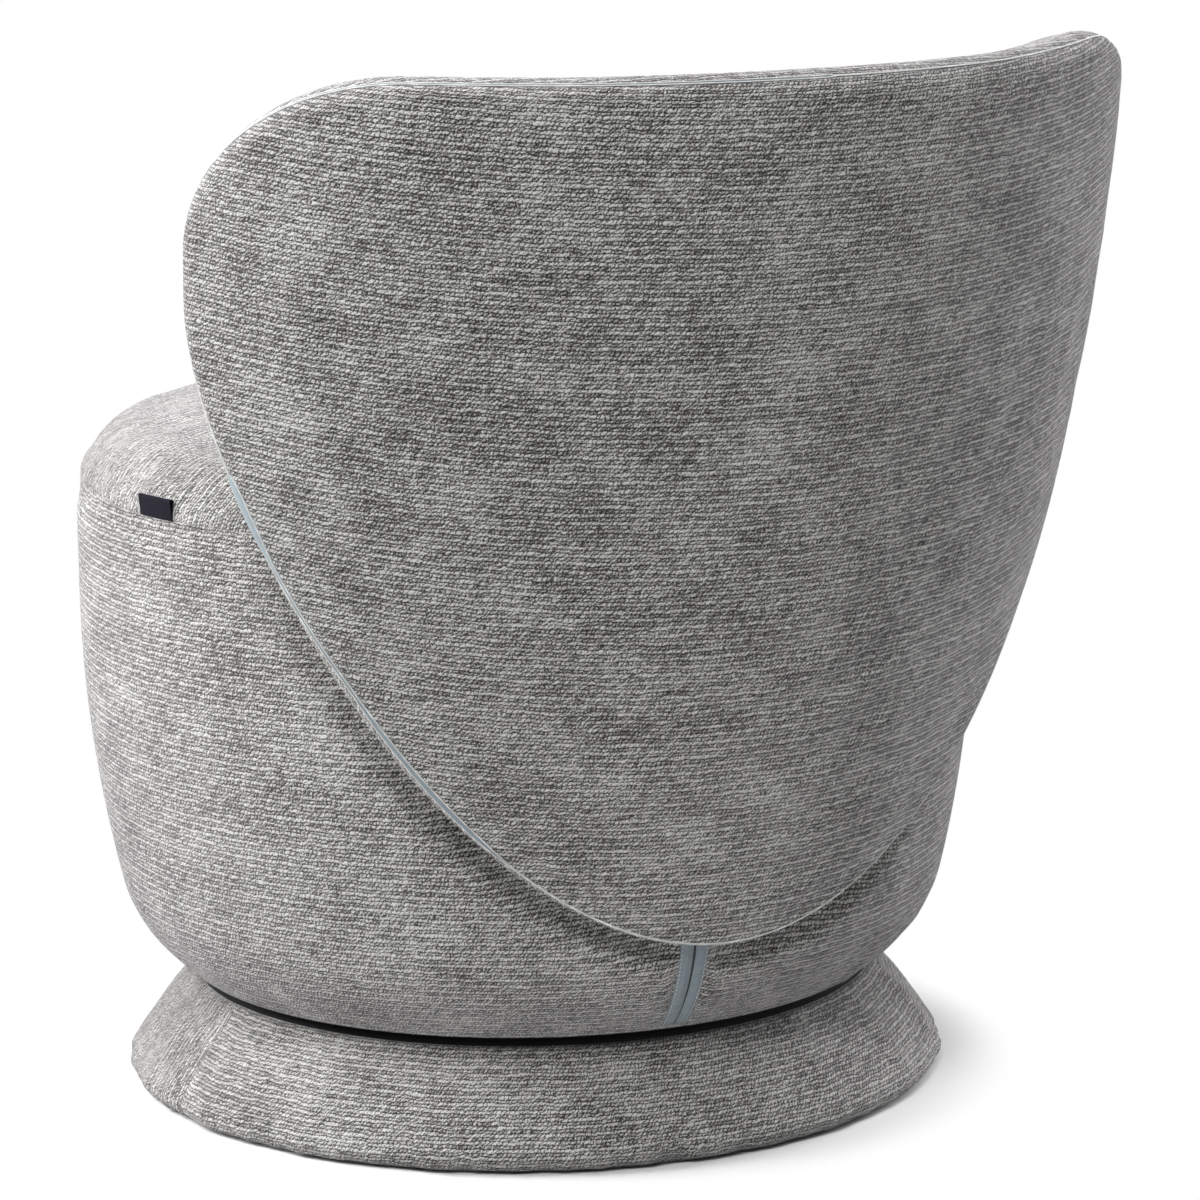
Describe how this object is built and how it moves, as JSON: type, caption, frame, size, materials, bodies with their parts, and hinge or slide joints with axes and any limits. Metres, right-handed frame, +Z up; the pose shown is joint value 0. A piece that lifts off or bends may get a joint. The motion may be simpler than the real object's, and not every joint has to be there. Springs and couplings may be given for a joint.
{
  "type": "swivel cuddle chair",
  "caption": "Round upholstered swivel chair with a padded drum seat on a flared plinth and a leaf-shaped back that wraps round the drum",
  "frame": {"origin": "centre of the whole chair's footprint box, on the floor under the glides", "axes": "+Z up; the sitter faces -Y, the back stands at +Y, and the sitter's left hand is at +X"},
  "size_m": [0.6962, 0.7704, 0.761],
  "materials": {
    "upholstery": "warm grey chenille with a fine horizontal rib and lighter flecks",
    "foam": "cream upholstery foam",
    "dust_cloth": "black non-woven lining",
    "plywood": "plain plywood",
    "hardboard": "brown hardboard",
    "zinc_plate": "zinc-plated steel",
    "spring_steel": "oiled spring steel",
    "zip_tape": "woven blue-grey zip tape",
    "zip_teeth": "dark nylon coil",
    "zip_slider": "dark enamelled zinc",
    "label_cloth": "near-black woven tape, bare",
    "glide_plastic": "black nylon"
  },
  "bodies": {
    "base": {"glide_1": "glide_plastic", "glide_2": "glide_plastic", "glide_3": "glide_plastic", "glide_4": "glide_plastic", "glide_5": "glide_plastic", "plinth_bottom_board": "plywood", "plinth_ring": "plywood", "plinth_top_board": "plywood", "plinth_cover": "upholstery", "plinth_foam": "foam", "bearing_lower_plate": "zinc_plate", "lower_plate_screw_1": "zinc_plate", "lower_plate_screw_2": "zinc_plate", "lower_plate_screw_3": "zinc_plate", "lower_plate_screw_4": "zinc_plate"},
    "ball_ring": {"bearing_ball_cage": "spring_steel"},
    "seat": {"bearing_upper_plate": "zinc_plate", "upper_plate_screw_1": "zinc_plate", "upper_plate_screw_2": "zinc_plate", "upper_plate_screw_3": "zinc_plate", "upper_plate_screw_4": "zinc_plate", "seat_bottom_board": "plywood", "seat_rib_1": "plywood", "seat_rib_2": "plywood", "seat_rib_3": "plywood", "seat_rib_4": "plywood", "seat_rib_5": "plywood", "seat_rib_6": "plywood", "seat_top_ring": "plywood", "seat_side_wrap": "hardboard", "seat_spring_1": "spring_steel", "seat_spring_2": "spring_steel", "seat_spring_3": "spring_steel", "seat_spring_4": "spring_steel", "seat_dust_cover": "dust_cloth", "rear_zip_tape_left": "zip_tape", "rear_zip_tape_right": "zip_tape", "rear_zip_teeth": "zip_teeth", "seat_side_cover": "upholstery", "seat_top_cover": "upholstery", "seat_side_foam": "foam", "seat_cushion_foam": "foam", "back_outer_cover": "upholstery", "back_inner_cover": "upholstery", "back_outer_foam": "foam", "back_shell": "plywood", "back_inner_foam": "foam", "back_zip_tape": "zip_tape", "back_block_left": "plywood", "back_block_right": "plywood", "back_spacer_1": "zinc_plate", "back_spacer_2": "zinc_plate", "back_spacer_3": "zinc_plate", "back_spacer_4": "zinc_plate", "back_bolt_1": "zinc_plate", "back_bolt_2": "zinc_plate", "back_bolt_3": "zinc_plate", "back_bolt_4": "zinc_plate", "label_tag": "label_cloth"},
    "zip_slider": {"rear_zip_slider": "zip_slider"}
  },
  "joints": [
    {"name": "swivel", "type": "hinge", "parent": "base", "child": "seat", "pos_m": [0, -0.06725, 0.085], "axis": [0, 0, 1], "continuous": true},
    {"name": "ball_orbit", "type": "hinge", "parent": "base", "child": "ball_ring", "pos_m": [0, -0.06725, 0.0808], "axis": [0, 0, 1], "continuous": true},
    {"name": "rear_zip_run", "type": "hinge", "parent": "seat", "child": "zip_slider", "pos_m": [0.01369, 0.10667, 0.18203], "axis": [0.9969, -0.0785, 0], "range_deg": [0, 28]}
  ],
  "couplings": [
    {"joint": "ball_orbit", "follows": "swivel", "ratio": 0.5}
  ]
}
